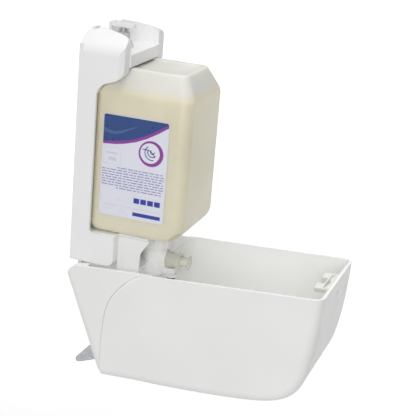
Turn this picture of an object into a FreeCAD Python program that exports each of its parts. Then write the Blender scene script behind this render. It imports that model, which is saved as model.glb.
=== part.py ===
"""Wall mounted soap dispenser with its cover swung open and a sealed refill on the cradle.

Units are millimetres. X runs to the right as seen from the front, -Y runs from the wall into the
room and +Z is up. The shapes are drawn with heights measured from the underside of the back plate's
foot. save() then lowers them all, so that the origin is the centre of the four wall screws.
The cover and everything it carries are drawn shut, and save_on_cover() swings them open.
"""
import FreeCAD, Part
import math
import os

Vector = FreeCAD.Vector
X_AXIS = Vector(1, 0, 0)
Y_AXIS = Vector(0, 1, 0)
Z_AXIS = Vector(0, 0, 1)
REACH = 300.0                 # longer than the whole object, for cutting and trimming blocks

# Back plate, fixed to the wall at y = 0
PLATE_HALF = 48.0             # half of the plate's width
PANEL = 3.0                   # thickness of the panel against the wall
FLANGE = 3.0                  # thickness of the side flanges
FLANGE_FRONT = -18.0
WING_ROOT_X = 22.5            # inner face of a wing at the panel
WING_TIP_X = 33.0             # and at the wing's front
WING_FRONT = -41.8
WING_TOP = 218.5              # highest line of the wings, at their inner edges
FOOT_FRONT = -43.0
FOOT_TOP = 29.0
ROOF_TOP = 193.0              # top of the crossbar between the wings
SCREW_X = 28.0                # wall screws stand at plus and minus this
SCREW_Z_SPAN = 140.0          # from the lower to the upper pair of wall screws
SCREW_Z_MID = 110.0
SCREW_HOLE_R = 2.6

# Hinge between back plate and cover
HINGE_Y = -11.5
HINGE_Z = -4.5
HINGE_PIN_R = 2.0
RUN_GAP = 0.05                # radial clearance of a running fit
OPEN_ANGLE = 86.5

# Cover, drawn shut
RIM_Y = -7.5                  # the rim stands this far off the wall
COVER_DEPTH_Y = -115.2        # foremost point of the front
COVER_TOP = 226.8
COVER_HALF_BOTTOM = 62.6
COVER_HALF_TOP = 58.0
COVER_EDGE_R = 9.0            # radius along the long edges of the sides
BOTTOM_Z_AT_RIM = -19.4
BOTTOM_SLOPE = 18.2           # degrees, the underside climbs towards the front
FRONT_FOOT_Y = -113.3         # where the front meets the corner radius
FRONT_FOOT_Z = 21.9
FRONT_CORNER_R = 9.0          # radius between the front and the underside
REAR_CORNER_R = 12.0          # radius between the underside and the rim
COVER_WALL = 2.5
SKIRT_RECESS = 1.6            # the skirt lies this far inside the shell's outer face
LAP_RECESS = 2.9              # where it laps behind the shell
SKIRT_INNER = 5.2
LAP_HEIGHT = 8.0
MOUTH_HALF = 43.0             # half width of the opening in the underside

# Push lever, drawn with the cover shut and the lever at rest
LEVER_Y = -100.0
LEVER_Z = 24.0
LEVER_PIN_R = 2.0
TAB_TILT = 18.0               # degrees, the tab leans out from the wall towards its tip
TAB_TIP_Z = -21.6
TAB_HALF = 33.0
TAB_THICK = 3.0

# Refill bottle, standing on its neck
BOTTLE_HALF = 43.0
BOTTLE_REAR = -12.0
BOTTLE_FRONT = -105.0
BOTTLE_FOOT = 29.6
BOTTLE_SHOULDER = 161.0
BOTTLE_TOP = 181.0
BOTTLE_WALL = 1.2
LIQUID_LEVEL = 165.0
PUMP_Y = -65.0                # axis of neck, collar and pump

# Pump
BARREL_R = 7.0
BORE_R = 5.2
BARREL_FRONT = -92.0
PLUNGER_TIP = -102.2
PLUNGER_DOME_R = 12.0         # the lever's pad rolls over this dome as it tilts
NOZZLE_Y = -83.0
BALL_R = 2.9
BALL_SEAT_R = 2.0
BALL_SEAT_Z = 5.3

# Lock
LOCK_Y = -20.0
BAR_Z = 210.5                 # underside of the lock bar
BAR_HALF = 11.0               # half of its length


def box(x0, x1, y0, y1, z0, z1):
    return Part.makeBox(x1 - x0, y1 - y0, z1 - z0, Vector(x0, y0, z0))


def mirror_x(shape):
    return shape.mirror(Vector(0, 0, 0), X_AXIS)


def both_sides(shape):
    """The shape and its mirror image across the middle, as one list."""
    return [shape, mirror_x(shape)]


def fuse(shapes):
    first = shapes[0]
    return first.fuse(shapes[1:]).removeSplitter() if len(shapes) > 1 else first


def cylinder_x(radius, x0, x1, y, z):
    return Part.makeCylinder(radius, x1 - x0, Vector(x0, y, z), X_AXIS)


def cylinder_y(radius, y0, y1, x, z):
    return Part.makeCylinder(radius, y1 - y0, Vector(x, y0, z), Y_AXIS)


def cylinder_z(radius, z0, z1, x, y):
    return Part.makeCylinder(radius, z1 - z0, Vector(x, y, z0), Z_AXIS)


def path_wire(start, steps):
    """A closed wire in the YZ plane. A step is a point for a line or a pair of points for an arc."""
    edges = []
    here = Vector(0, *start)
    for step in steps:
        if isinstance(step[0], tuple):
            middle, end = Vector(0, *step[0]), Vector(0, *step[1])
            edges.append(Part.Arc(here, middle, end).toShape())
        else:
            end = Vector(0, *step)
            edges.append(Part.LineSegment(here, end).toShape())
        here = end
    if here.distanceToPoint(Vector(0, *start)) > 1e-6:
        edges.append(Part.LineSegment(here, Vector(0, *start)).toShape())
    return Part.Wire(edges)


def slab(wire, x0, x1):
    """A YZ outline given thickness from x0 to x1."""
    face = Part.Face(wire)
    face.translate(Vector(x0, 0, 0))
    return face.extrude(Vector(x1 - x0, 0, 0))


def rounded_rectangle(half_x, y_rear, y_front, radius, z):
    """A closed wire in a plane of constant z."""
    x1, y0, y1, r = half_x, y_front, y_rear, radius
    bow = r * (1 - math.sqrt(0.5))
    corners = [
        ((x1, y0 + r), (x1, y1 - r), (x1 - bow, y1 - bow), (x1 - r, y1)),
        ((x1 - r, y1), (-x1 + r, y1), (-x1 + bow, y1 - bow), (-x1, y1 - r)),
        ((-x1, y1 - r), (-x1, y0 + r), (-x1 + bow, y0 + bow), (-x1 + r, y0)),
        ((-x1 + r, y0), (x1 - r, y0), (x1 - bow, y0 + bow), (x1, y0 + r)),
    ]
    edges = []
    for start, turn, middle, end in corners:
        edges.append(Part.LineSegment(Vector(*start, z), Vector(*turn, z)).toShape())
        edges.append(Part.Arc(Vector(*turn, z), Vector(*middle, z), Vector(*end, z)).toShape())
    return Part.Wire(edges)


def edges_where(shape, test):
    """The edges whose middle point passes the test."""
    found = []
    for edge in shape.Edges:
        middle = edge.valueAt((edge.FirstParameter + edge.LastParameter) / 2)
        if test(middle):
            found.append(edge)
    return found


def lower(shape):
    moved = shape.copy()
    moved.translate(Vector(0, 0, -SCREW_Z_MID))
    return moved


def save(name, shape):
    lower(shape).exportStep(f"parts/{name}.step")
    solids = shape.Solids
    print(f"{name}: {len(solids)} solid(s), {sum(s.Volume for s in solids):.0f} mm3, valid {shape.isValid()}")


def save_on_cover(name, shape):
    """The shape goes with the cover, so it turns about the hinge into the open position."""
    opened = shape.copy()
    opened.rotate(Vector(0, HINGE_Y, HINGE_Z), X_AXIS, OPEN_ANGLE)
    save(name, opened)


# ---------------------------------------------------------------- back plate

def plate_outline():
    """Side view of flange, wing and foot, from the lower rear corner round the front."""
    return path_wire((0, 0), [
        (FOOT_FRONT + 7, 0),
        ((FOOT_FRONT + 2.05, 2.05), (FOOT_FRONT, 7)),
        (FOOT_FRONT, FOOT_TOP),
        (FLANGE_FRONT - 3, FOOT_TOP),
        ((FLANGE_FRONT - 0.9, FOOT_TOP + 0.9), (FLANGE_FRONT, FOOT_TOP + 3)),
        (FLANGE_FRONT, 156),
        ((-19.6, 162.0), (-24.7, 167.0)),
        (-36.0, 171.3),
        ((-40.1, 175.2), (WING_FRONT, 181.0)),
        (WING_FRONT, 203.0),
        ((-40.9, 205.9), (-38.4, 207.9)),
        (-33.0, 210.0),
        (-25.0, 213.0),
        (-10.5, WING_TOP),
        (-9.0, WING_TOP),
        (-8.0, 211.0),
        (0, 209.5),
    ])


def wing_outline():
    """Front view of the right wing, rounded off towards its outer side."""
    edge = PLATE_HALF
    points = [Vector(0, 0, 150), Vector(edge, 0, 150), Vector(edge, 0, 190)]
    edges = [Part.LineSegment(points[0], points[1]).toShape(), Part.LineSegment(points[1], points[2]).toShape()]
    shoulder = Vector(edge - 8.5, 0, 205)
    edges.append(Part.Arc(points[2], Vector(edge - 1.9, 0, 199), shoulder).toShape())
    crest = [shoulder, Vector(edge - 20, 0, 211.5), Vector(0, 0, WING_TOP + 3), points[0]]
    edges += [Part.LineSegment(a, b).toShape() for a, b in zip(crest, crest[1:])]
    return Part.Face(Part.Wire(edges)).extrude(Vector(0, -REACH, 0))


def wing_plan():
    """Top view of the right wing, whose inner face leans outwards towards the front."""
    corners = [(WING_ROOT_X, 1), (PLATE_HALF, 1), (PLATE_HALF, WING_FRONT + 4),
               (PLATE_HALF - 4, WING_FRONT - 1), (WING_TIP_X, WING_FRONT - 1), (WING_TIP_X, -38), (WING_ROOT_X, -PANEL)]
    points = [Vector(x, y, 150) for x, y in corners]
    return Part.Face(Part.makePolygon(points + points[:1])).extrude(Vector(0, 0, REACH))


def make_wing():
    """The right wing: a deep hollow arm, cored out from the wall side."""
    arm = slab(plate_outline(), 0, PLATE_HALF).common(box(0, REACH, -REACH, 0, 158, REACH))
    arm = arm.common(wing_plan()).common(wing_outline())
    arm = arm.cut(box(0, WING_TIP_X, -REACH, REACH, 0, ROOF_TOP - PANEL))
    core = box(WING_TIP_X + 2.5, PLATE_HALF - 3, WING_FRONT + 6, 1, 186, 196)
    return arm.cut([core, bottle_form(-0.8)])


def make_foot():
    """The foot, cored out from the wall side into three cells."""
    block = slab(plate_outline(), -PLATE_HALF, PLATE_HALF).common(box(-REACH, REACH, -REACH, 0, -1, FOOT_TOP))
    cell_width = (2 * PLATE_HALF - 4 * FLANGE) / 3
    for index in range(3):
        left = -PLATE_HALF + FLANGE + index * (cell_width + FLANGE)
        block = block.cut(box(left, left + cell_width, FOOT_FRONT + 2.5, 1, 3, FOOT_TOP - 2.5))
    return block


def hinge_lug():
    """The right lug under the foot, with the hole for the hinge pin."""
    lug = fuse([
        cylinder_x(5.0, 37, 43, HINGE_Y, HINGE_Z),
        box(37, 43, HINGE_Y - 5, HINGE_Y + 5, HINGE_Z, 1),
    ])
    return lug.cut(cylinder_x(HINGE_PIN_R, 30, 60, HINGE_Y, HINGE_Z))


def make_back_plate():
    flange = slab(plate_outline(), PLATE_HALF - FLANGE, PLATE_HALF).common(box(0, REACH, -REACH, 0, 0, 170))
    panel = box(-PLATE_HALF, PLATE_HALF, -PANEL, 0, 20, 200)
    head_rib = box(13, 24, -PANEL, 0, 199, 211)
    bottle_rib = box(29, 31.5, BOTTLE_REAR + 1.5, -1, 45, 150)
    roof = box(-34, 34, FOOT_FRONT, -1, ROOF_TOP - PANEL, ROOF_TOP)
    roof_lip = box(-34, 34, FOOT_FRONT, FOOT_FRONT + 2.5, ROOF_TOP - 11, ROOF_TOP)
    roof_gusset = box(14, 16.5, FOOT_FRONT + 1, -1, ROOF_TOP - 10, ROOF_TOP - 1)
    pieces = [panel, make_foot(), roof, roof_lip]
    for piece in (flange, make_wing(), head_rib, bottle_rib, roof_gusset, hinge_lug()):
        pieces += both_sides(piece)
    pads, holes = [], []
    for x in (-SCREW_X, SCREW_X):
        for z in (SCREW_Z_MID - SCREW_Z_SPAN / 2, SCREW_Z_MID + SCREW_Z_SPAN / 2):
            pads.append(cylinder_y(7.5, -5, -1, x, z))
            holes.append(cylinder_y(SCREW_HOLE_R, -8, 1, x, z))
    lock_seat = cylinder_z(9.5, ROOF_TOP - 1, ROOF_TOP + 3, 0, LOCK_Y)
    plate = fuse(pieces + pads + [lock_seat])
    plate = plate.cut(holes + [cylinder_z(6.0, ROOF_TOP - 5, ROOF_TOP + 5, 0, LOCK_Y)])
    return plate.cut(cradle_screw_shanks(0.0))


# ---------------------------------------------------------------- cradle for the refill

CRADLE_WEB_X = 37.0
CRADLE_SCREW_X = 30.0
CRADLE_SCREW_Z = 15.0


def cradle_screw_shanks(gap):
    """Shanks of the two screws that hold the cradle to the foot."""
    return [cylinder_y(1.6 + gap, FOOT_FRONT - 6, FOOT_FRONT + 5, x, CRADLE_SCREW_Z)
            for x in (-CRADLE_SCREW_X, CRADLE_SCREW_X)]


def make_cradle():
    """Two side webs joined by a back wall, a ledge under the bottle and a yoke round the pump."""
    rear = FOOT_FRONT - 0.1
    web_outline = path_wire((rear, 27.4), [
        (-73.6, 27.4),
        (-65.0, 13.5),
        (-65.0, -8.5),
        ((-64.4, -10.0), (-62.9, -10.6)),
        (rear - 3, -10.6),
        (rear, -7.6),
    ])
    web = slab(web_outline, CRADLE_WEB_X - 1.25, CRADLE_WEB_X + 1.25)
    ledge = box(18.6, CRADLE_WEB_X, -72, rear, 27.4, 29.4).cut(
        box(0, REACH, -REACH, -72, 0, REACH))
    back_wall = box(-CRADLE_WEB_X, CRADLE_WEB_X, rear - 2.5, rear, -7.6, 26)
    yoke = box(-CRADLE_WEB_X, CRADLE_WEB_X, -64, rear, -4.5, -2)
    yoke = yoke.cut(cylinder_z(11.4, -20, 20, 0, PUMP_Y))
    ledge_rib = box(18.6, 20.6, -70, rear, 20, 28)
    cradle = fuse([back_wall, yoke] + both_sides(web) + both_sides(ledge) + both_sides(ledge_rib))
    cradle = cradle.cut(box(-17, 17, -60, rear + 1, 10.0, 30))
    return cradle.cut(cradle_screw_shanks(0.3))


def make_cradle_screws():
    screws = []
    for shank, x in zip(cradle_screw_shanks(0.0), (-CRADLE_SCREW_X, CRADLE_SCREW_X)):
        face = FOOT_FRONT - 2.6
        shank = shank.common(box(-REACH, REACH, face - 1, 0, -REACH, REACH))
        head = cylinder_y(3.2, face - 2.0, face, x, CRADLE_SCREW_Z)
        slot = box(x - 0.5, x + 0.5, face - 2.5, face - 1.2, CRADLE_SCREW_Z - 2.4, CRADLE_SCREW_Z + 2.4)
        cross = box(x - 2.4, x + 2.4, face - 2.5, face - 1.2, CRADLE_SCREW_Z - 0.5, CRADLE_SCREW_Z + 0.5)
        screws.append(fuse([shank, head]).cut([slot, cross]))
    return Part.makeCompound(screws)


def make_hinge_pins():
    """One pin each side, pressed into the plate's lugs, on which the skirt's cheeks turn."""
    pin = cylinder_x(HINGE_PIN_R, 37, 53.6, HINGE_Y, HINGE_Z)
    return Part.makeCompound(both_sides(pin))


# ---------------------------------------------------------------- cover

def cover_profile(inset):
    """Side view of the cover, moved inwards by the inset, from the rim's top over the front."""
    crown = [(2, COVER_TOP + 0.5), (RIM_Y, COVER_TOP), (-30, 224.5), (-58, 220.2), (-79, 215.2), (-93.2, 209.4),
             (-103.2, 201.0), (-109.6, 188.5), (-113.1, 171.5), (-114.7, 150), (COVER_DEPTH_Y, 120),
             (-114.6, 75), (FRONT_FOOT_Y, FRONT_FOOT_Z)]
    curve = Part.BSplineCurve()
    curve.interpolate(Points=[Vector(0, y, z) for y, z in crown],
                      InitialTangent=Vector(0, -1, -0.03), FinalTangent=Vector(0, 0, -1))
    if inset:
        moved = []
        for y, z in crown:
            tangent = curve.tangent(curve.parameter(Vector(0, y, z)))[0]
            moved.append(Vector(0, y - tangent.z * inset, z + tangent.y * inset))
        curve = Part.BSplineCurve()
        curve.interpolate(Points=moved, InitialTangent=Vector(0, -1, -0.03), FinalTangent=Vector(0, 0, -1))
    start, end = curve.StartPoint, curve.EndPoint
    centre = Vector(0, FRONT_FOOT_Y + FRONT_CORNER_R, FRONT_FOOT_Z)
    radius = FRONT_CORNER_R - inset
    slope = math.radians(BOTTOM_SLOPE)

    def on_corner(turn):
        return centre + Vector(0, -radius * math.cos(turn), -radius * math.sin(turn))

    corner_end = on_corner(math.pi / 2 - slope)
    corner = Part.Arc(end, on_corner((math.pi / 2 - slope) / 2), corner_end)
    run = start.y - corner_end.y
    tail = Vector(0, start.y, corner_end.z - run * math.tan(slope))
    edges = [curve.toShape(), corner.toShape(),
             Part.LineSegment(corner_end, tail).toShape(), Part.LineSegment(tail, start).toShape()]
    return Part.Wire(edges)


def cover_solid(inset):
    """The cover's outer form, moved inwards by the inset and left open-ended behind the rim."""
    block = slab(cover_profile(inset), -80, 80)
    taper = (COVER_HALF_BOTTOM - COVER_HALF_TOP) / (COVER_TOP - BOTTOM_Z_AT_RIM)

    def half(z):
        return COVER_HALF_BOTTOM - taper * (z - BOTTOM_Z_AT_RIM) - inset

    low, high = -60, 260
    points = [Vector(-half(low), 10, low), Vector(half(low), 10, low),
              Vector(half(high), 10, high), Vector(-half(high), 10, high)]
    prism = Part.Face(Part.makePolygon(points + points[:1])).extrude(Vector(0, -200, 0))
    block = block.common(prism)
    rounded = edges_where(block, lambda p: abs(p.x) > 40 and p.y < 1.5)
    return block.makeFillet(COVER_EDGE_R - inset, rounded)


def seam_block(rise, above):
    """Everything above (or below) the seam between shell and skirt, which is lifted by the rise."""
    points = [(4, 75), (-9.6, 58.6), (-18.2, 45), (-26, 37.2), (-34, 31), (-45, 26.4), (-60, 23.2),
              (-85, 20.6), (-130, 18.6)]
    curve = Part.BSplineCurve()
    curve.interpolate(Points=[Vector(0, y, z + rise) for y, z in points])
    start, end = curve.StartPoint, curve.EndPoint
    far = REACH if above else -REACH
    edges = [curve.toShape(),
             Part.LineSegment(end, Vector(0, end.y, far)).toShape(),
             Part.LineSegment(Vector(0, end.y, far), Vector(0, start.y, far)).toShape(),
             Part.LineSegment(Vector(0, start.y, far), start).toShape()]
    return slab(Part.Wire(edges), -80, 80)


def behind_rim():
    return box(-REACH, REACH, RIM_Y, REACH, -REACH, REACH)


KEY_HOLE_R = 2.2
SEAM_EDGE_R = 1.2             # radius on the shell's lower edge


def on_outer_seam(point):
    return abs(abs(point.x) - side_half(point.z)) < 0.05 and 16 < point.z < 76 and point.y < RIM_Y - 1


def make_cover_shell():
    shell = cover_solid(0).cut(cover_solid(COVER_WALL)).cut(behind_rim())
    shell = shell.common(seam_block(0.0, True))
    shell = shell.makeFillet(SEAM_EDGE_R, edges_where(shell, on_outer_seam))
    key_slot = box(-4, 4, LOCK_Y - 0.8, LOCK_Y + 0.8, 200, 240)
    key_hole = cylinder_z(KEY_HOLE_R, 200, 240, 0, LOCK_Y)
    return shell.cut([key_slot, key_hole] + skirt_screw_shanks())


def lever_bracket():
    """The right-hand rib inside the skirt that carries the lever's pin."""
    rib = box(38.5, 41.0, -112, -95.5, 15, 28.6).common(cover_solid(LAP_RECESS + 0.5))
    return rib.cut(cylinder_x(LEVER_PIN_R, 30, 50, LEVER_Y, LEVER_Z))


def hinge_cheek():
    """The right-hand boss inside the skirt that turns on the hinge pin."""
    outer = side_half(HINGE_Z) - SKIRT_INNER + 1
    return fuse([
        cylinder_x(3.9, 50.5, outer, HINGE_Y, HINGE_Z),
        box(50.5, outer, HINGE_Y - 3.9, HINGE_Y + 3.9, HINGE_Z, 6),
    ])


def skirt_corner_trim():
    """What lies outside the radius between the skirt's underside and the rim."""
    slope = math.radians(BOTTOM_SLOPE)
    centre_y = RIM_Y - REAR_CORNER_R
    foot_z = BOTTOM_Z_AT_RIM + REAR_CORNER_R * math.tan(slope) + SKIRT_RECESS / math.cos(slope)
    centre_z = foot_z + REAR_CORNER_R / math.cos(slope)
    tangent_y = centre_y - REAR_CORNER_R * math.sin(slope)
    block = box(-REACH, REACH, tangent_y, RIM_Y + 1, centre_z - 30, centre_z)
    return block.cut(cylinder_x(REAR_CORNER_R, -REACH, REACH, centre_y, centre_z))


def make_cover_skirt():
    visible = cover_solid(SKIRT_RECESS).cut(cover_solid(COVER_WALL + SKIRT_RECESS))
    visible = visible.common(seam_block(-0.4, False))
    lap = cover_solid(LAP_RECESS).cut(cover_solid(SKIRT_INNER))
    lap = lap.common(seam_block(LAP_HEIGHT, False))
    skirt = visible.fuse([lap]).cut(behind_rim())
    floor_mouth = box(-MOUTH_HALF, MOUTH_HALF, -99, -42, -40, 17)
    tab_mouth = box(-38.2, 38.2, -109.4, -90, -40, 26)
    lug_swing = cylinder_x(5.6, -44, 44, HINGE_Y, HINGE_Z)
    lug_recess = box(-44, 44, HINGE_Y, 5, HINGE_Z - 5.6, 5)
    skirt = skirt.cut([floor_mouth, tab_mouth, lug_swing, lug_recess])
    skirt = fuse([skirt] + both_sides(hinge_cheek()) + both_sides(lever_bracket()))
    skirt = skirt.cut(skirt_corner_trim())
    pin_hole = cylinder_x(HINGE_PIN_R + RUN_GAP, 45, 54.0, HINGE_Y, HINGE_Z)
    return skirt.cut(both_sides(pin_hole) + skirt_screw_shanks())


SKIRT_SCREW_PLACES = ((-28.0, 40.0), (-80.0, 24.2))
SKIRT_SCREW_R = 1.2


def skirt_screw_shanks():
    """Screws driven outwards from inside, through the skirt's lap into the shell."""
    shanks = []
    for y, z in SKIRT_SCREW_PLACES:
        shanks += both_sides(cylinder_x(SKIRT_SCREW_R, 50.0, side_half(z) - 1.2, y, z))
    return shanks


def make_skirt_screws():
    screws = []
    for y, z in SKIRT_SCREW_PLACES:
        head_side = side_half(z) - SKIRT_INNER
        shank = cylinder_x(SKIRT_SCREW_R, head_side - 0.5, side_half(z) - 1.2, y, z)
        head = cylinder_x(2.6, head_side - 2.1, head_side - 0.3, y, z)
        slot = box(head_side - 3, head_side - 1.4, y - 0.4, y + 0.4, z - 2.0, z + 2.0)
        screws += both_sides(fuse([shank, head]).cut(slot))
    return Part.makeCompound(screws)


def side_half(z):
    """Half width of the cover's outer face at a height."""
    taper = (COVER_HALF_BOTTOM - COVER_HALF_TOP) / (COVER_TOP - BOTTOM_Z_AT_RIM)
    return COVER_HALF_BOTTOM - taper * (z - BOTTOM_Z_AT_RIM)


LEDGE_REAR = -10.6            # the ledge across the cover's top end, seen from the rim
LEDGE_FRONT = -12.8
LIP_FRONT = -15.6
LIP_LOW_Z = BAR_Z - 1.5


def make_catch_bracket():
    """A ledge with a long pocket, and behind it two lips that the turned lock bar hooks in front of."""
    wide = box(-52, 52, LEDGE_FRONT, LEDGE_REAR, WING_TOP + 3, 240)
    middle = box(-20.5, 20.5, LEDGE_FRONT, LEDGE_REAR, LIP_LOW_Z, 240)
    bar_passage = box(-7.5, 7.5, LEDGE_FRONT - 1, LEDGE_REAR + 1, LIP_LOW_Z - 1, BAR_Z + 4.5)
    pocket = box(-17.5, 17.5, LEDGE_FRONT - 1, LEDGE_REAR + 1, BAR_Z + 6, BAR_Z + 9)
    lip = box(7.5, 17.8, LIP_FRONT, LEDGE_FRONT + 0.01, LIP_LOW_Z, 240)
    ribs = [box(x - 0.8, x + 0.8, -26, LEDGE_REAR, WING_TOP + 3, 240) for x in (-40, -19, 19, 40)]
    bracket = fuse([wide, middle] + ribs).cut([bar_passage, pocket])
    bracket = fuse([bracket] + both_sides(lip))
    return bracket.common(cover_solid(COVER_WALL + 0.01))


# ---------------------------------------------------------------- push lever

def tilt(shape):
    """Leans a shape out from the wall about the line where the tab meets the lever's cross plate."""
    turned = shape.copy()
    turned.rotate(Vector(0, LEVER_Y - 3.5, 12), X_AXIS, -TAB_TILT)
    return turned


def tab_length():
    return (12 - TAB_TIP_Z) / math.cos(math.radians(TAB_TILT))


def make_lever_frame():
    """Cross plate with an ear at each end that turns on a pin."""
    plate = box(-37, 37, LEVER_Y - 4.5, LEVER_Y - 2.5, 13.0, 28.0)
    ear = fuse([cylinder_x(4.3, 34, 37.6, LEVER_Y, LEVER_Z), box(34, 37.6, LEVER_Y - 4.5, LEVER_Y, 19.7, 28.3)])
    rib = box(20, 22, LEVER_Y - 3, LEVER_Y + 0.5, 14, 28)
    tongue_root = tilt(box(-24, 24, LEVER_Y - 4.5, LEVER_Y - 3.0, -2, 14))
    spring_notch = box(28, 33.9, LEVER_Y - 6, LEVER_Y, 19.6, 30)
    plate = plate.cut(both_sides(spring_notch))
    frame = fuse([plate, tongue_root] + both_sides(ear) + both_sides(rib))
    hole = cylinder_x(LEVER_PIN_R + RUN_GAP, 30, 45, LEVER_Y, LEVER_Z)
    return frame.cut(both_sides(hole))


def make_lever_tab():
    """The tinted blade that the palm pushes, rounded at its tip."""
    top, tip = 11.8, 12 - tab_length()
    blade = box(-TAB_HALF, TAB_HALF, LEVER_Y - 4.6 - TAB_THICK, LEVER_Y - 4.6, tip, top)
    corners = edges_where(blade, lambda p: abs(abs(p.x) - TAB_HALF) < 0.01 and abs(p.z - tip) < 0.01)
    blade = blade.makeFillet(9.0, corners)
    rim = edges_where(blade, lambda p: p.z < tip + 20 and p.y < LEVER_Y - 7)
    return tilt(blade.makeFillet(0.9, rim))


def make_lever_pad():
    """A small upright block behind the tab that meets the plunger."""
    front = LEVER_Y - 2.5
    block = box(-9, 9, front - 14, front, -6, 6)
    return block.cut(tilt(box(-80, 80, -REACH, LEVER_Y - 2.95, -80, 80)))


def make_lever_pins():
    pin = cylinder_x(LEVER_PIN_R, 33.0, 42.5, LEVER_Y, LEVER_Z)
    return Part.makeCompound(both_sides(pin))


def make_lever_spring():
    """A torsion spring round the left pin, with one leg on the bracket and one on the cross plate."""
    wire_r, coil_r, turns, pitch = 0.45, 3.1, 3, 1.3
    helix = Part.makeHelix(pitch, pitch * turns, coil_r)
    along = Vector(0, 2 * math.pi * coil_r, pitch)
    profile = Part.Wire(Part.makeCircle(wire_r, Vector(coil_r, 0, 0), along))
    coil = Part.Wire(helix).makePipeShell([profile], True, True)
    coil.rotate(Vector(0, 0, 0), Y_AXIS, 90)
    coil.translate(Vector(-33.0 + 0.3, LEVER_Y, LEVER_Z))
    return coil


# ---------------------------------------------------------------- refill

def bottle_form(inset):
    """The bottle's body without its neck, moved inwards by the inset."""
    half, rear, front = BOTTLE_HALF - inset, BOTTLE_REAR - inset, BOTTLE_FRONT + inset
    foot, shoulder, top = BOTTLE_FOOT + inset, BOTTLE_SHOULDER, BOTTLE_TOP - inset
    base = Part.Face(rounded_rectangle(half, rear, front, 11.0 - inset, foot))
    body = base.extrude(Vector(0, 0, shoulder - foot))
    under = edges_where(body, lambda p: abs(p.z - foot) < 0.01)
    body = body.makeFillet(8.0 - inset, under)
    crown = Part.makeLoft([
        rounded_rectangle(half, rear, front, 11.0 - inset, shoulder),
        rounded_rectangle(half - 13, rear - 8, front + 11, 8.0 - inset, top),
    ], True, True)
    form = body.fuse([crown])
    shoulder_cut_r = 19.0 - inset
    corner = box(-REACH, REACH, -REACH, BOTTLE_FRONT + 19, -REACH, BOTTLE_FOOT + 19)
    corner = corner.cut(cylinder_x(shoulder_cut_r, -REACH, REACH, BOTTLE_FRONT + 19, BOTTLE_FOOT + 19))
    return form.cut(corner)


def make_bottle():
    outer = bottle_form(0).fuse([cylinder_z(14.0, 14.5, BOTTLE_FOOT + 3, 0, PUMP_Y)])
    inner = bottle_form(BOTTLE_WALL).fuse([cylinder_z(12.6, 13, BOTTLE_FOOT + 5, 0, PUMP_Y)])
    return outer.cut(inner)


def make_liquid():
    gap = 0.05
    form = bottle_form(BOTTLE_WALL + gap).fuse([cylinder_z(12.5, 16.0, BOTTLE_FOOT + 5, 0, PUMP_Y)])
    return form.cut(box(-REACH, REACH, -REACH, REACH, LIQUID_LEVEL, REACH))


def make_label():
    """The printed label on the bottle's left side."""
    height_low, height_high, rear, front, radius = 47.6, 140.8, -24.5, -86.7, 2.5
    wire = rounded_rectangle(height_high / 2 - height_low / 2, rear, front, radius, 0)
    face = Part.Face(wire)
    sheet = face.extrude(Vector(0, 0, 0.25))
    sheet.rotate(Vector(0, 0, 0), Y_AXIS, -90)
    sheet.translate(Vector(-BOTTLE_HALF - 0.02, 0, (height_low + height_high) / 2))
    return sheet


def make_collar():
    """The screw collar that locks the pump to the neck, with grip flutes round it."""
    collar = cylinder_z(17.0, 12.0, 27.2, 0, PUMP_Y).cut(cylinder_z(14.05, 14.4, 30, 0, PUMP_Y))
    collar = collar.cut(cylinder_z(9.0, 0, 20, 0, PUMP_Y))
    flutes = []
    count = 24
    for index in range(count):
        turn = 2 * math.pi * index / count
        flutes.append(cylinder_z(0.8, 13.5, 25.5, 17.3 * math.cos(turn), PUMP_Y + 17.3 * math.sin(turn)))
    return collar.cut(flutes)


def make_pump_housing():
    """Upright chamber under the neck, with a bored socket for the barrel in front."""
    body = cylinder_z(11.0, -16.0, 11.9, 0, PUMP_Y)
    body = body.makeFillet(2.0, edges_where(body, lambda p: p.z < -15.9))
    spigot = cylinder_z(8.9, 11, 14.3, 0, PUMP_Y)
    flange = cylinder_z(12.4, 14.4, 15.9, 0, PUMP_Y)
    neck = cylinder_z(8.9, 14, 15, 0, PUMP_Y)
    arm = box(-3.6, 3.6, NOZZLE_Y - 3.6, PUMP_Y, -13.7, -8.2)
    socket = cylinder_y(9.0, -78.5, -68, 0, 0)
    body = fuse([body, spigot, neck, flange, arm, socket])
    inlet = cylinder_z(4.0, BALL_SEAT_Z, 20, 0, PUMP_Y)
    ball_seat = cylinder_z(BALL_SEAT_R, -1, BALL_SEAT_Z, 0, PUMP_Y)
    bore = cylinder_y(BORE_R, -90, -63, 0, 0)
    barrel_seat = cylinder_y(BARREL_R, -90, -74, 0, 0)
    outlet = cylinder_z(1.8, -11.0, 0, 0, PUMP_Y)
    channel = box(-1.2, 1.2, NOZZLE_Y, PUMP_Y, -12.0, -9.8)
    nozzle_seat = cylinder_z(2.6, -20, -11.4, 0, NOZZLE_Y)
    return body.cut([inlet, ball_seat, bore, barrel_seat, outlet, channel, nozzle_seat])


def make_inlet_ball():
    rise = math.sqrt(BALL_R ** 2 - BALL_SEAT_R ** 2) + 0.02
    return Part.makeSphere(BALL_R, Vector(0, PUMP_Y, BALL_SEAT_Z + rise))


def make_barrel():
    """Clear sleeve that the plunger slides in."""
    sleeve = cylinder_y(BARREL_R, BARREL_FRONT, -74, 0, 0)
    bead = cylinder_y(BARREL_R + 1.0, BARREL_FRONT, BARREL_FRONT + 2.5, 0, 0)
    return fuse([sleeve, bead]).cut(cylinder_y(BORE_R, -120, -60, 0, 0))


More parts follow.
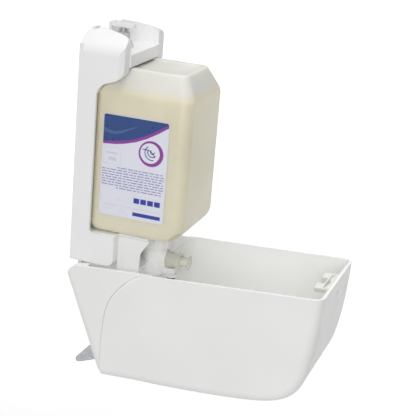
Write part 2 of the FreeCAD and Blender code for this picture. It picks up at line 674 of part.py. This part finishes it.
def make_plunger():
    """Clear plunger with a domed head in front and a groove for its seal behind."""
    rod = cylinder_y(4.4, PLUNGER_TIP + 6.0, -79.0, 0, 0)
    guide = cylinder_y(BORE_R - 0.08, -91.0, -86.0, 0, 0)
    tail = cylinder_y(BORE_R - 0.08, -81.0, -79.0, 0, 0)
    head = cylinder_y(6.6, PLUNGER_TIP, PLUNGER_TIP + 2.4, 0, 0)
    head = head.common(Part.makeSphere(PLUNGER_DOME_R, Vector(0, PLUNGER_TIP + PLUNGER_DOME_R, 0)))
    stem = cylinder_y(4.4, PLUNGER_TIP + 1.5, PLUNGER_TIP + 7, 0, 0)
    return fuse([rod, guide, tail, head, stem])


def make_plunger_seal():
    ring = cylinder_y(BORE_R - 0.03, -85.0, -82.0, 0, 0)
    return ring.cut(cylinder_y(4.4, -90, -70, 0, 0))


def make_pump_spring():
    """The spring behind the plunger."""
    wire_r, coil_r, length, turns = 0.4, 3.6, 12.0, 6
    pitch = length / turns
    helix = Part.makeHelix(pitch, length, coil_r)
    profile = Part.Wire(Part.makeCircle(wire_r, Vector(coil_r, 0, 0), Y_AXIS))
    coil = Part.Wire(helix).makePipeShell([profile], True, True)
    coil.rotate(Vector(0, 0, 0), X_AXIS, -90)
    coil.translate(Vector(0, -78.5, 0))
    return coil


def make_nozzle():
    """The spout pressed into the end of the arm."""
    tube = cylinder_z(2.6, -19.0, -11.6, 0, NOZZLE_Y).cut(cylinder_z(1.4, -30, 0, 0, NOZZLE_Y))
    ring = cylinder_z(5.0, -17.0, -13.8, 0, NOZZLE_Y).cut(cylinder_z(1.4, -30, 0, 0, NOZZLE_Y))
    return fuse([tube, ring])


def make_nozzle_valve():
    """Soft dark tip over the spout, slit at its end."""
    tip = cylinder_z(3.7, -21.0, -17.1, 0, NOZZLE_Y)
    tip = tip.makeFillet(0.8, edges_where(tip, lambda p: p.z < -20.9))
    tip = tip.cut(cylinder_z(2.62, -19.05, -10, 0, NOZZLE_Y))
    return tip.cut(box(-1.6, 1.6, NOZZLE_Y - 0.15, NOZZLE_Y + 0.15, -25, -18))


# ---------------------------------------------------------------- lock

def make_lock_barrel():
    """Fixed barrel standing in the roof's seat, in which the spindle turns."""
    tube = cylinder_z(5.95, ROOF_TOP - 2.9, BAR_Z - 4.2, 0, LOCK_Y)
    collar = cylinder_z(8.0, ROOF_TOP + 3.05, ROOF_TOP + 5, 0, LOCK_Y)
    return fuse([tube, collar]).cut(cylinder_z(3.0 + RUN_GAP, 100, REACH, 0, LOCK_Y))


def make_lock_spindle():
    spindle = cylinder_z(3.0, ROOF_TOP - 2.9, BAR_Z - 0.05, 0, LOCK_Y)
    shoulder = cylinder_z(4.8, BAR_Z - 4.0, BAR_Z - 2.0, 0, LOCK_Y)
    foot_slot = box(-0.6, 0.6, LOCK_Y - 5, LOCK_Y + 5, ROOF_TOP - 4, ROOF_TOP - 1.6)
    return fuse([spindle, shoulder]).cut(foot_slot)


def make_lock_bar():
    """The bar on the spindle. It points at the wall when unlocked and across when locked."""
    bar = box(-3.4, 3.4, LOCK_Y - BAR_HALF, LOCK_Y + BAR_HALF, BAR_Z, BAR_Z + 3.3)
    bar = bar.common(cylinder_z(BAR_HALF, BAR_Z - 1, BAR_Z + 5, 0, LOCK_Y))
    key_slot = box(-0.7, 0.7, LOCK_Y - 2.6, LOCK_Y + 2.6, BAR_Z + 1.4, BAR_Z + 5)
    return bar.cut(key_slot)


def main():
    os.makedirs("parts", exist_ok=True)
    save("back_plate", make_back_plate())
    save("refill_cradle", make_cradle())
    save("cradle_screws", make_cradle_screws())
    save("hinge_pins", make_hinge_pins())
    save("lock_barrel", make_lock_barrel())
    save("lock_spindle", make_lock_spindle())
    save("lock_bar", make_lock_bar())

    save("refill_bottle", make_bottle())
    save("liquid_soap", make_liquid())
    save("bottle_label", make_label())
    save("neck_collar", make_collar())
    save("pump_housing", make_pump_housing())
    save("inlet_ball", make_inlet_ball())
    save("pump_barrel", make_barrel())
    save("spout", make_nozzle())
    save("spout_valve", make_nozzle_valve())
    save("pump_plunger", make_plunger())
    save("plunger_seal", make_plunger_seal())
    save("pump_spring", make_pump_spring())

    save_on_cover("cover_shell", make_cover_shell())
    save_on_cover("cover_skirt", make_cover_skirt())
    save_on_cover("skirt_screws", make_skirt_screws())
    save_on_cover("catch_bracket", make_catch_bracket())
    save_on_cover("lever_pins", make_lever_pins())
    save_on_cover("lever_spring", make_lever_spring())
    save_on_cover("lever_frame", make_lever_frame())
    save_on_cover("push_tab", make_lever_tab())
    save_on_cover("lever_pad", make_lever_pad())


main()
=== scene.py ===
"""Looks of the wall mounted soap dispenser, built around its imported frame. Units are metres."""
from math import cos, pi, radians, sin

import bmesh
import bpy
from mathutils import Matrix, Vector


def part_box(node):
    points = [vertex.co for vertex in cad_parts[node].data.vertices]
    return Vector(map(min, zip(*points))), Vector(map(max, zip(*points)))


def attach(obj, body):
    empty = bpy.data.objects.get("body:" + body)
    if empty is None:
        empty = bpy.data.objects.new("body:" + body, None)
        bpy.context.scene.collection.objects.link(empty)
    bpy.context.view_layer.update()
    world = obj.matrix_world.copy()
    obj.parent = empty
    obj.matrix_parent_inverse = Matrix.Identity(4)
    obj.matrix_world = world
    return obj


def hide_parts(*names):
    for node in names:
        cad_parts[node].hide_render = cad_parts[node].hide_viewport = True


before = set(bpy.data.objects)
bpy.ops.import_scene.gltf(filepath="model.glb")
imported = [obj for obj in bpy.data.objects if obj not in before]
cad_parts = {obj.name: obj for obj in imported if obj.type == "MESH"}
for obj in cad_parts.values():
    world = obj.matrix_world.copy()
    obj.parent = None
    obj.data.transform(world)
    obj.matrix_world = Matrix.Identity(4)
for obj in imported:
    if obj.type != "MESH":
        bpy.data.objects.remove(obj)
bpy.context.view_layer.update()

FLOOR_Z = -1.15               # a dispenser hangs about this far above the floor
FLOOR_HALF = 30.0
BEHIND = (0.95, 0.31, 0.0)    # the floor glows more and more this way, behind the dispenser
GLOW_STARTS = 0.2
GLOW_ENDS = 2.2
GLOW = 0.64

# World light: a share from all round, more from above, less from the room, and nowhere under the dimmest
BASE_LIGHT = 0.34
SKY_GAIN = 0.65
ROOM_GAIN = -0.42
DIMMEST_LIGHT = 0.09

# Lamps, in watts
KEY_WATTS = 16
OVERHEAD_WATTS = 6
TRAY_WATTS = 98
TRAY_CONE = radians(8)        # just wide enough for the open cover

# Refill bottle, as in the CAD frame
BOTTLE_FOOT_Z = -0.0804
SHOULDER_Z = 0.051
LIQUID_TOP_Z = 0.055
LEVEL_BLUR = 0.004            # half of the height over which the liquid's colour fades out
CORNER_R = 0.011
FOOT_R = 0.008
FRONT_FOOT_R = 0.019
NECK_R = 0.014
NECK_Y = -0.065
SHOULDER_SOFT = 0.0022        # the shoulder's edges are rounded over about this height
SHOULDER_IN_SIDE = 0.013      # how far the sloping shoulder runs in, on each side, at the rear and in front
SHOULDER_IN_REAR = 0.008
SHOULDER_IN_FRONT = 0.011
TOP_CORNER_R = 0.008
TOP_RECESS = ((0.0012, 0.0), (0.0062, 0.0), (0.0072, 0.0006), (0.0082, 0.0014), (0.0095, 0.0016),
              (0.02, 0.0016))           # steps inwards and down from the top's edge
CORNER_STEPS = 10
LIQUID_PALE = (0.79, 0.745, 0.585)
LIQUID_DEEP = (0.73, 0.685, 0.515)
LIQUID_LOW = (0.79, 0.76, 0.60)
EMPTY_PALE = (0.75, 0.745, 0.70)
EMPTY_DEEP = (0.70, 0.69, 0.64)

# Ink on the label
INK_SINK = 0.00005            # each outline starts this far inside the label
INK_HEIGHT = 0.00006          # one layer of ink

# Camera, as it stands to the origin
CAMERA_PLACE = Vector((-0.9738, -0.4306, 0.2857))
CAMERA_YAW = radians(18.03)
CAMERA_DOWN = radians(18.32)
CAMERA_ROLL = radians(4.96)
CAMERA_LENS = 102.27


# ---------------------------------------------------------------- camera, light and floor

def make_camera():
    forward = Vector((cos(CAMERA_YAW) * cos(CAMERA_DOWN), sin(CAMERA_YAW) * cos(CAMERA_DOWN),
                      -sin(CAMERA_DOWN)))
    level_right = forward.cross(Vector((0, 0, 1))).normalized()
    level_up = level_right.cross(forward)
    right = level_right * cos(CAMERA_ROLL) + level_up * sin(CAMERA_ROLL)
    up = level_up * cos(CAMERA_ROLL) - level_right * sin(CAMERA_ROLL)
    data = bpy.data.cameras.new("camera")
    data.lens = CAMERA_LENS
    data.sensor_width = 36.0
    camera = bpy.data.objects.new("camera", data)
    turn = Matrix((right, up, -forward)).transposed().to_4x4()
    camera.matrix_world = Matrix.Translation(CAMERA_PLACE) @ turn
    bpy.context.scene.collection.objects.link(camera)
    bpy.context.scene.camera = camera


def make_world():
    """A soft white studio: brightest overhead, less bright on the room side."""
    world = bpy.data.worlds.new("studio")
    world.use_nodes = True
    bpy.context.scene.world = world
    nodes, links = world.node_tree.nodes, world.node_tree.links
    nodes.clear()
    direction = nodes.new("ShaderNodeTexCoord").outputs["Generated"]
    total = None
    for axis, gain in (((0, 0, 1), SKY_GAIN), ((0, -1, 0), ROOM_GAIN)):
        facing = nodes.new("ShaderNodeVectorMath")
        facing.operation = "DOT_PRODUCT"
        facing.inputs[1].default_value = axis
        links.new(direction, facing.inputs[0])
        share = nodes.new("ShaderNodeMapRange")
        share.inputs["To Max"].default_value = gain
        links.new(facing.outputs["Value"], share.inputs["Value"])
        added = nodes.new("ShaderNodeMath")
        added.inputs[1].default_value = BASE_LIGHT
        links.new(share.outputs["Result"], added.inputs[0])
        if total is not None:
            links.new(total, added.inputs[1])
        total = added.outputs[0]
    lifted = nodes.new("ShaderNodeMath")
    lifted.operation = "MAXIMUM"
    lifted.inputs[1].default_value = DIMMEST_LIGHT
    links.new(total, lifted.inputs[0])
    background = nodes.new("ShaderNodeBackground")
    background.inputs["Color"].default_value = (1, 1, 1, 1)
    links.new(lifted.outputs[0], background.inputs["Strength"])
    output = nodes.new("ShaderNodeOutputWorld")
    links.new(background.outputs[0], output.inputs["Surface"])


def aimed_light(name, kind, place, aim, watts, **settings):
    data = bpy.data.lights.new(name, kind)
    data.energy = watts
    for setting, value in settings.items():
        setattr(data, setting, value)
    light = bpy.data.objects.new(name, data)
    light.location = place
    light.rotation_mode = "QUATERNION"
    light.rotation_quaternion = (Vector(aim) - Vector(place)).to_track_quat("-Z", "Y")
    bpy.context.scene.collection.objects.link(light)


def make_lights():
    aimed_light("key", "AREA", (-2.0, -0.7, 0.60), (0, -0.12, -0.05), KEY_WATTS, shape="DISK", size=1.2)
    aimed_light("overhead", "AREA", (0.0, -0.17, 1.9), (0, -0.16, 0), OVERHEAD_WATTS, shape="DISK", size=0.7)
    aimed_light("tray_light", "SPOT", (-0.15, -0.42, 2.2), (0.01, -0.18, -0.15), TRAY_WATTS,
                spot_size=TRAY_CONE, spot_blend=1.0, shadow_soft_size=0.12)


def make_floor():
    """A matt floor far below, which glows more and more behind the dispenser."""
    bpy.ops.mesh.primitive_plane_add(size=2 * FLOOR_HALF, location=(0, 0, FLOOR_Z))
    floor = bpy.context.active_object
    floor.name = "floor"
    material = bpy.data.materials.new("pale_floor")
    material.use_nodes = True
    shader = material.node_tree.nodes["Principled BSDF"]
    shader.inputs["Base Color"].default_value = (0.72, 0.72, 0.72, 1)
    shader.inputs["Roughness"].default_value = 0.9
    shader.inputs["Emission Color"].default_value = (1, 1, 1, 1)
    nodes, links = material.node_tree.nodes, material.node_tree.links
    place = nodes.new("ShaderNodeTexCoord").outputs["Object"]
    reach = nodes.new("ShaderNodeVectorMath")
    reach.operation = "DOT_PRODUCT"
    reach.inputs[1].default_value = BEHIND
    links.new(place, reach.inputs[0])
    glow = nodes.new("ShaderNodeMapRange")
    for name, value in (("From Min", GLOW_STARTS), ("From Max", GLOW_ENDS), ("To Max", GLOW)):
        glow.inputs[name].default_value = value
    links.new(reach.outputs["Value"], glow.inputs["Value"])
    links.new(glow.outputs["Result"], shader.inputs["Emission Strength"])
    floor.data.materials.append(material)


# ---------------------------------------------------------------- materials

class Look:
    """A node material in the making, with its Principled shader and the object's own coordinates."""

    def __init__(self, name, color, roughness, **sockets):
        self.material = bpy.data.materials.new(name)
        self.material.use_nodes = True
        self.tree = self.material.node_tree
        self.shader = self.tree.nodes["Principled BSDF"]
        self.set(Roughness=roughness, **sockets)
        self.set(**{"Base Color": (*color, 1)})
        self.place = self.node("ShaderNodeTexCoord").outputs["Object"]

    def set(self, **sockets):
        for name, value in sockets.items():
            self.shader.inputs[name.replace("_", " ")].default_value = value

    def node(self, kind, **settings):
        made = self.tree.nodes.new(kind)
        for name, value in settings.items():
            setattr(made, name, value)
        return made

    def join(self, source, target):
        self.tree.links.new(source, target)

    def noise(self, scale, detail):
        made = self.node("ShaderNodeTexNoise")
        made.inputs["Scale"].default_value = scale
        made.inputs["Detail"].default_value = detail
        self.join(self.place, made.inputs["Vector"])
        return made.outputs["Fac"]

    def ranged(self, value, low, high, start=0.3, end=0.7):
        """Takes a value from start..end to low..high. The default range suits noise."""
        made = self.node("ShaderNodeMapRange")
        for name, number in zip(("From Min", "From Max", "To Min", "To Max"), (start, end, low, high)):
            made.inputs[name].default_value = number
        self.join(value, made.inputs["Value"])
        return made.outputs["Result"]

    def mix(self, factor, first, second):
        """Goes from the first colour to the second. Each is a plain colour or another node's output."""
        made = self.node("ShaderNodeMix", data_type="RGBA")
        for socket, color in (("A", first), ("B", second)):
            if isinstance(color, tuple):
                made.inputs[socket].default_value = (*color, 1)
            else:
                self.join(color, made.inputs[socket])
        self.join(factor, made.inputs["Factor"])
        return made.outputs["Result"]

    def bump(self, height, distance, edge=0.0):
        """A fine relief, over edges that catch the light as if they were rounded."""
        made = self.node("ShaderNodeBump")
        made.inputs["Distance"].default_value = distance
        self.join(height, made.inputs["Height"])
        if edge:
            rounding = self.node("ShaderNodeBevel", samples=6)
            rounding.inputs["Radius"].default_value = edge
            self.join(rounding.outputs["Normal"], made.inputs["Normal"])
        self.join(made.outputs["Normal"], self.shader.inputs["Normal"])


def moulded_plastic(name, color, roughness, depth=0.00003, edge=0.0, **sockets):
    """Plastic or metal with faint cloudiness, uneven gloss and a fine grain of the given depth."""
    look = Look(name, color, roughness, **sockets)
    shade = tuple(c * 0.97 for c in color)
    look.join(look.mix(look.ranged(look.noise(14.0, 2.0), 0.0, 1.0), shade, color),
              look.shader.inputs["Base Color"])
    look.join(look.ranged(look.noise(60.0, 4.0), roughness - 0.04, roughness + 0.06),
              look.shader.inputs["Roughness"])
    look.bump(look.noise(2600.0, 2.0), depth, edge)
    return look.material


def refill_plastic():
    """Frosted plastic in the liquid's colour, paler and greyer above its level."""
    look = Look("bottle_plastic", (0.8, 0.8, 0.74), 0.36, Subsurface_Weight=0.55, Subsurface_Scale=0.006,
                Subsurface_Radius=(1.0, 0.9, 0.55), Coat_Weight=0.15, Coat_Roughness=0.25)
    height = look.node("ShaderNodeSeparateXYZ")
    look.join(look.place, height.inputs[0])
    wavy = look.node("ShaderNodeMath", operation="MULTIPLY_ADD")
    look.join(look.noise(30.0, 2.0), wavy.inputs[0])
    wavy.inputs[1].default_value = 0.0012
    look.join(height.outputs["Z"], wavy.inputs[2])
    above = look.ranged(wavy.outputs[0], 0.0, 1.0, LIQUID_TOP_Z - LEVEL_BLUR, LIQUID_TOP_Z + LEVEL_BLUR)
    cloud = look.ranged(look.noise(22.0, 3.0), 0.0, 1.0)
    near_foot = look.ranged(height.outputs["Z"], 1.0, 0.0, BOTTLE_FOOT_Z, BOTTLE_FOOT_Z + 0.05)
    wet = look.mix(near_foot, look.mix(cloud, LIQUID_DEEP, LIQUID_PALE), LIQUID_LOW)
    dry = look.mix(cloud, EMPTY_DEEP, EMPTY_PALE)
    look.join(look.mix(above, wet, dry), look.shader.inputs["Base Color"])
    look.join(look.ranged(look.noise(45.0, 4.0), 0.3, 0.44), look.shader.inputs["Roughness"])
    look.bump(look.noise(180.0, 3.0), 0.00012, 0.002)
    return look.material


def paint(material, *nodes):
    for name in nodes:
        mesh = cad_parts[name].data
        mesh.materials.clear()
        mesh.materials.append(material)


def make_materials():
    cover = moulded_plastic("cover_white", (0.905, 0.905, 0.895), 0.36, edge=0.0012)
    white = moulded_plastic("white_plastic", (0.92, 0.92, 0.92), 0.42, edge=0.0009)
    grey = moulded_plastic("grey_plastic", (0.62, 0.63, 0.64), 0.5, edge=0.0004)
    cream = moulded_plastic("cream_plastic", (0.72, 0.715, 0.68), 0.45, edge=0.0004)
    rubber = moulded_plastic("dark_rubber", (0.05, 0.05, 0.045), 0.6, edge=0.0004)
    tinted = moulded_plastic("tinted_plastic", (0.73, 0.765, 0.80), 0.22, edge=0.0008,
                             Transmission_Weight=0.35)
    clear = moulded_plastic("clear_plastic", (0.96, 0.955, 0.87), 0.14, edge=0.0004, Transmission_Weight=0.45,
                            IOR=1.49)
    steel = moulded_plastic("steel", (0.6, 0.6, 0.61), 0.3, edge=0.0003, Metallic=1.0)
    soap = moulded_plastic("soap", LIQUID_PALE, 0.2, Transmission_Weight=0.3)
    film = moulded_plastic("label_film", (0.80, 0.81, 0.89), 0.28, depth=0.00001)
    paint(cover, "cover_shell", "cover_skirt")
    paint(white, "back_plate", "refill_cradle", "neck_collar", "pump_housing", "spout", "lever_frame",
          "lock_bar")
    paint(cream, "catch_bracket")
    paint(grey, "lock_barrel")
    paint(rubber, "plunger_seal", "spout_valve", "lever_pad")
    paint(tinted, "push_tab")
    paint(clear, "pump_barrel", "pump_plunger")
    paint(steel, "lock_spindle", "cradle_screws", "hinge_pins", "skirt_screws", "lever_pins", "lever_spring",
          "pump_spring", "inlet_ball")
    paint(soap, "liquid_soap")
    paint(film, "bottle_label")


# ---------------------------------------------------------------- new pieces

def piece_from(name, mesh_data, material, body, smooth=True):
    mesh = bpy.data.meshes.new(name)
    mesh_data.to_mesh(mesh)
    mesh_data.free()
    for face in mesh.polygons:
        face.use_smooth = smooth
    mesh.materials.append(material)
    piece = bpy.data.objects.new(name, mesh)
    bpy.context.scene.collection.objects.link(piece)
    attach(piece, body)
    return piece


def ring_angles():
    """The angles of a ring's points. Each quarter's last angle is the next one's first."""
    return [pi / 2 * (turn + step / CORNER_STEPS) for turn in range(4) for step in range(CORNER_STEPS + 1)]


def neck_ring(z):
    return [Vector((NECK_R * cos(a), NECK_Y + NECK_R * sin(a), z)) for a in ring_angles()]


def rounded_ring(half, rear, front, radius, z):
    """Points round a rectangle with rounded corners, at one height."""
    middle = (rear + front) / 2
    depth = (rear - front) / 2
    corners = [(half - radius, depth - radius), (radius - half, depth - radius),
               (radius - half, radius - depth), (half - radius, radius - depth)]
    points = []
    for index, angle in enumerate(ring_angles()):
        x, y = corners[index // (CORNER_STEPS + 1)]
        points.append(Vector((x + radius * cos(angle), middle + y + radius * sin(angle), z)))
    return points


def loft(rings):
    """A closed mesh through rings of equal length, with a face over each end."""
    made = bmesh.new()
    rows = [[made.verts.new(point) for point in ring] for ring in rings]
    count = len(rows[0])
    for lower, upper in zip(rows, rows[1:]):
        for index in range(count):
            after = (index + 1) % count
            made.faces.new((lower[index], lower[after], upper[after], upper[index]))
    made.faces.new(list(reversed(rows[0])))
    made.faces.new(rows[-1])
    bmesh.ops.recalc_face_normals(made, faces=made.faces)
    return made


def foot_rings(half, rear, front):
    """From the bottle's flat foot up to its straight sides. The front's radius is larger than the others."""
    rings = []
    steps = 14
    for step in range(steps + 1):
        rise = FRONT_FOOT_R * (1 - cos(pi / 2 * step / steps))
        side = max(FOOT_R - rise, 0)
        inset = FOOT_R - (FOOT_R ** 2 - side ** 2) ** 0.5
        front_inset = FRONT_FOOT_R - (FRONT_FOOT_R ** 2 - (FRONT_FOOT_R - rise) ** 2) ** 0.5
        rings.append(rounded_ring(half - inset, rear - inset, front + front_inset, CORNER_R - inset / 2,
                                  BOTTLE_FOOT_Z + rise))
    return rings


def shoulder_ring(half, rear, front, lean, radius, z, bow=0.0):
    """A ring on the sloping shoulder, where lean goes from 0 at its foot to 1 at the top."""
    return rounded_ring(half - SHOULDER_IN_SIDE * lean - bow, rear - SHOULDER_IN_REAR * lean - bow,
                        front + SHOULDER_IN_FRONT * lean + bow, radius, z)


def make_bottle():
    low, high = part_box("refill_bottle")
    half, rear, front, top = high.x, high.y, low.y, high.z
    slope_height = top - SHOULDER_Z
    rings = [neck_ring(low.z), neck_ring(BOTTLE_FOOT_Z + 0.0005)]
    rings += foot_rings(half, rear, front)
    rings.append(rounded_ring(half, rear, front, CORNER_R, SHOULDER_Z - 0.045))
    for rise, bow in ((-SHOULDER_SOFT, 0.0), (-SHOULDER_SOFT / 3, 0.0004), (SHOULDER_SOFT / 2, 0.0004),
                      (SHOULDER_SOFT * 2, 0.0)):
        rings.append(shoulder_ring(half, rear, front, max(rise, 0) / slope_height, CORNER_R,
                                   SHOULDER_Z + rise, bow))
    for lean, drop in ((0.85, 0.15 * slope_height), (0.95, 0.05 * slope_height), (1.0, 0.0004)):
        radius = CORNER_R - (CORNER_R - TOP_CORNER_R) * lean
        rings.append(shoulder_ring(half, rear, front, lean, radius, top - drop))
    for inset, drop in TOP_RECESS:
        radius = max(TOP_CORNER_R - inset, 0.002)
        rings.append(shoulder_ring(half, rear, front, 1.0, radius, top - drop, bow=inset))
    bottle = piece_from("bottle_form", loft(rings), refill_plastic(), "wall_unit")
    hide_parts("refill_bottle")


def print_layer(name, outlines, material, layers_up=1):
    """Ink that stands some layers proud of the label, from closed outlines.

    An outline's points are (distance from the wall, height).
    """
    face_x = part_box("bottle_label")[0].x
    made = bmesh.new()
    for outline in outlines:
        sunk, proud = [[made.verts.new((x, -out, z)) for out, z in outline]
                       for x in (face_x + INK_SINK, face_x - layers_up * INK_HEIGHT)]
        made.faces.new(sunk)
        made.faces.new(list(reversed(proud)))
        for index in range(len(outline)):
            after = (index + 1) % len(outline)
            made.faces.new((sunk[index], sunk[after], proud[after], proud[index]))
    bmesh.ops.recalc_face_normals(made, faces=made.faces)
    piece_from(name, made, material, "wall_unit", smooth=False)


def rectangle(out0, out1, z0, z1):
    return [(out0, z0), (out1, z0), (out1, z1), (out0, z1)]


def disc(out, z, radius, steps=40):
    turns = [2 * pi * k / steps for k in range(steps)]
    return [(out + radius * cos(turn), z + radius * sin(turn)) for turn in turns]


def ring_band(out, z, outer, inner, start, end, steps=28):
    arc = [start + (end - start) * k / steps for k in range(steps + 1)]
    return ([(out + outer * cos(a), z + outer * sin(a)) for a in arc]
            + [(out + inner * cos(a), z + inner * sin(a)) for a in reversed(arc)])


def from_mm(points):
    return [(out * 0.001, z * 0.001) for out, z in points]


def text_dashes():
    """Nine rows of dashes of uneven length. The first row and the last are short."""
    first_z, row_height, half_stroke = -0.0170, 0.00235, 0.00042
    long_start, short_start, last_start, row_end = 0.0255, 0.0400, 0.0830, 0.0848
    gap = 0.0011
    dashes = []
    for row in range(9):
        z = first_z - row * row_height
        place = long_start if 0 < row < 8 else short_start
        word = 0
        while place < last_start:
            length = 0.0021 + 0.0013 * ((row * 5 + word * 3) % 4)
            dashes.append(rectangle(place, min(place + length, row_end), z - half_stroke, z + half_stroke))
            place += length + gap
            word += 1
    return dashes


def make_label_print():
    """A generic label: a curved header with a stripe and a lighter wavy band of painted highlight, a ring
    mark, dashes, blocks and a bar.
    """
    inks = {}
    # One ink, the lighter blue, is a painted highlight on the header; the others are print.
    for name, color, roughness in (
            ("blue", (0.034, 0.078, 0.25), 0.3), ("painted_highlight", (0.075, 0.145, 0.33), 0.3),
            ("magenta", (0.29, 0.06, 0.37), 0.3), ("bar_blue", (0.045, 0.06, 0.38), 0.3),
            ("pale", (0.81, 0.83, 0.89), 0.3), ("text_blue", (0.27, 0.28, 0.55), 0.35),
            ("faint", (0.66, 0.68, 0.76), 0.35)):
        inks[name] = moulded_plastic("print_" + name, color, roughness, depth=0.00001)

    # The header and what is on it, in mm
    curve = [(24.9, 5.6), (34.3, 6.7), (45.2, 8.6), (56.0, 11.9), (66.5, 16.9), (74.3, 21.5), (81.9, 26.6),
             (86.2, 29.2)]
    stripe = [(86.2, 26.4), (77.1, 20.2), (66.7, 13.9), (56.1, 9.1), (45.4, 5.9), (37.2, 4.3), (24.9, 3.2)]
    header = curve + [(84.8, 30.5), (26.2, 30.5), (24.9, 29.3)]
    # The lighter wavy band across the header is a painted highlight, laid on as a second layer of ink.
    highlight_band = [(24.9, 18.6), (30.0, 16.6), (36.0, 16.0), (43.0, 17.6), (50.0, 20.8), (57.0, 23.6), (57.0, 23.0),
            (50.0, 19.2), (43.0, 15.2), (36.0, 13.2), (30.0, 13.6), (24.9, 15.6)]
    print_layer("label_header", [from_mm(header)], inks["blue"])
    print_layer("label_painted_highlight", [from_mm(highlight_band)], inks["painted_highlight"], 2)
    print_layer("label_stripe", [from_mm(curve + stripe)], inks["magenta"])

    print_layer("label_mark", [disc(0.0711, 0.0008, 0.0117)], inks["magenta"])
    print_layer("label_mark_centre", [disc(0.0702, 0.0012, 0.0092)], inks["pale"], 2)
    strokes = [ring_band(0.0720, 0.0018, 0.0070, 0.0062, 2.2, 5.0),
               ring_band(0.0722, 0.0022, 0.0046, 0.0038, 2.6, 5.6),
               ring_band(0.0724, 0.0026, 0.0022, 0.0014, 2.2, 6.4),
               ring_band(0.0660, -0.0052, 0.0098, 0.0091, 0.35, 1.9)]
    print_layer("label_mark_strokes", strokes, inks["bar_blue"], 3)

    print_layer("label_bar", [rectangle(0.0572, 0.0837, -0.0590, -0.0556)], inks["bar_blue"])
    frame_lines = [rectangle(0.0262, 0.0428, -0.0145, -0.0142), rectangle(0.0262, 0.0428, 0.0007, 0.0010),
                   rectangle(0.0262, 0.0265, -0.0142, 0.0007), rectangle(0.0425, 0.0428, -0.0142, 0.0007)]
    print_layer("label_square", frame_lines, inks["faint"])
    rows = [rectangle(0.0285, 0.0400, -0.0050, -0.0034), rectangle(0.0310, 0.0385, -0.0110, -0.0080)]
    print_layer("label_square_rows", rows, inks["faint"])
    print_layer("label_text_rows", text_dashes(), inks["text_blue"])
    print_layer("label_rule", [rectangle(0.0272, 0.0840, -0.0524, -0.0520)], inks["faint"])
    blocks = [rectangle(0.0575 + 0.0066 * k, 0.0630 + 0.0066 * k, -0.0470, -0.0422) for k in range(4)]
    print_layer("label_blocks", blocks, inks["bar_blue"])


make_camera()
make_world()
make_floor()
make_lights()
make_materials()
make_bottle()
make_label_print()
scene = bpy.context.scene
scene.view_settings.view_transform = "Standard"
scene.cycles.max_bounces = 24           # light has to find its way into the open cover
scene.cycles.diffuse_bounces = 16
